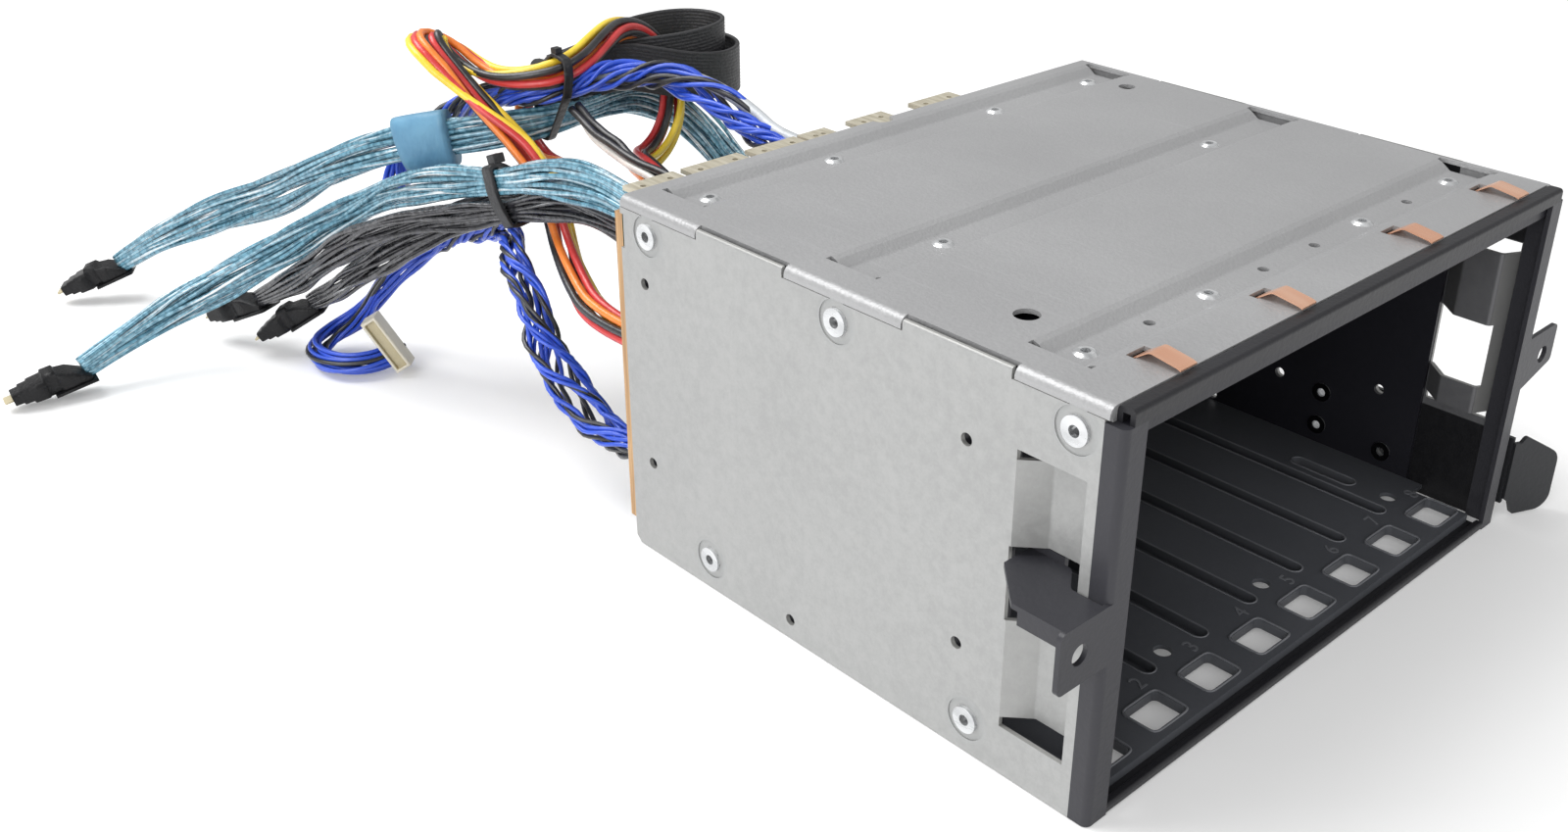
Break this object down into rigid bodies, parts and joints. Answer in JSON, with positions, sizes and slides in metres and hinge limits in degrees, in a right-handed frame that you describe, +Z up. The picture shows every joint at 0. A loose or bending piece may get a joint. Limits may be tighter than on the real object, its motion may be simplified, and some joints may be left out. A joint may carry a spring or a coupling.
{
  "type": "hot swap drive cage",
  "caption": "Sheet metal hot swap cage for slim drives, with a backplane, spring contact fingers, a side release latch and a long loom of data, power and signal cables.",
  "frame": {"origin": "middle of the cage in plan, on the surface that it stands on, which is the underside of the guide grooves", "axes": "+X to the right seen from the open front, -Y towards the front, +Z up"},
  "size_m": [0.2474, 0.3531, 0.0972],
  "materials": {
    "board": "semi-gloss",
    "black_sheet": "satin",
    "carrier": "satin",
    "zinc": "satin",
    "tie": "satin",
    "copper": "bright",
    "cord_blue": "glossy",
    "cord_black": "glossy",
    "header": "matte",
    "plug": "satin",
    "socket": "matte",
    "galvanised": "satin",
    "tongue": "semi-gloss",
    "cord_wires": "satin",
    "white": "satin",
    "grey_cover": "satin"
  },
  "bodies": {
    "cage": {"backplane_board": "board", "bay_ceiling": "black_sheet", "bay_floor": "black_sheet", "board_carrier": "carrier", "board_screws": "zinc", "bottom_rail": "black_sheet", "cable_tie_1": "tie", "cable_tie_2": "tie", "data_cable_1": "cord_blue", "data_cable_2": "cord_blue", "data_cable_3": "cord_black", "data_cable_4": "cord_black", "data_headers": "header", "data_plug_1": "plug", "data_plug_2": "plug", "data_plug_3": "plug", "data_plug_4": "plug", "drive_connector_1": "socket", "drive_connector_2": "socket", "drive_connector_3": "socket", "drive_connector_4": "socket", "drive_connector_5": "socket", "drive_connector_6": "socket", "drive_connector_7": "socket", "drive_connector_8": "socket", "finger_clips": "copper", "latch_foot": "black_sheet", "latch_rivets": "zinc", "left_inner_wall": "black_sheet", "left_post": "black_sheet", "left_rivets": "zinc", "left_side_plate": "galvanised", "plug_cards": "tongue", "power_branch": "cord_wires", "power_cable": "cord_wires", "power_headers": "header", "return_lead": "cord_wires", "ribbon_cable_1": "cord_black", "ribbon_cable_2": "cord_black", "ribbon_wrap": "tie", "right_inner_wall": "black_sheet", "right_post": "black_sheet", "right_rivets": "zinc", "right_side_plate": "galvanised", "signal_harness_low": "cord_wires", "signal_harness_top": "cord_wires", "signal_headers": "header", "signal_plug": "white", "top_clinches": "zinc", "top_cover": "grey_cover", "top_rail": "black_sheet"},
    "contact_finger_1": {"contact_finger_1": "copper"},
    "contact_finger_2": {"contact_finger_2": "copper"},
    "contact_finger_3": {"contact_finger_3": "copper"},
    "contact_finger_4": {"contact_finger_4": "copper"},
    "latch": {"latch_lever": "black_sheet"}
  },
  "joints": [
    {"name": "finger_1_flex", "type": "hinge", "parent": "cage", "child": "contact_finger_1", "pos_m": [-0.055, -0.051, 0.0807], "axis": [1, 0, 0], "range_deg": [0, 3], "stiffness_Nm_per_rad": 0.02},
    {"name": "finger_2_flex", "type": "hinge", "parent": "cage", "child": "contact_finger_2", "pos_m": [-0.02, -0.051, 0.0807], "axis": [1, 0, 0], "range_deg": [0, 3], "stiffness_Nm_per_rad": 0.02},
    {"name": "finger_3_flex", "type": "hinge", "parent": "cage", "child": "contact_finger_3", "pos_m": [0.0244, -0.051, 0.0807], "axis": [1, 0, 0], "range_deg": [0, 3], "stiffness_Nm_per_rad": 0.02},
    {"name": "finger_4_flex", "type": "hinge", "parent": "cage", "child": "contact_finger_4", "pos_m": [0.0594, -0.051, 0.0807], "axis": [1, 0, 0], "range_deg": [0, 3], "stiffness_Nm_per_rad": 0.02},
    {"name": "latch_flex", "type": "hinge", "parent": "cage", "child": "latch", "pos_m": [0.077, -0.02925, 0.012], "axis": [0, 0, 1], "range_deg": [-2.4, 0], "stiffness_Nm_per_rad": 0.4}
  ]
}
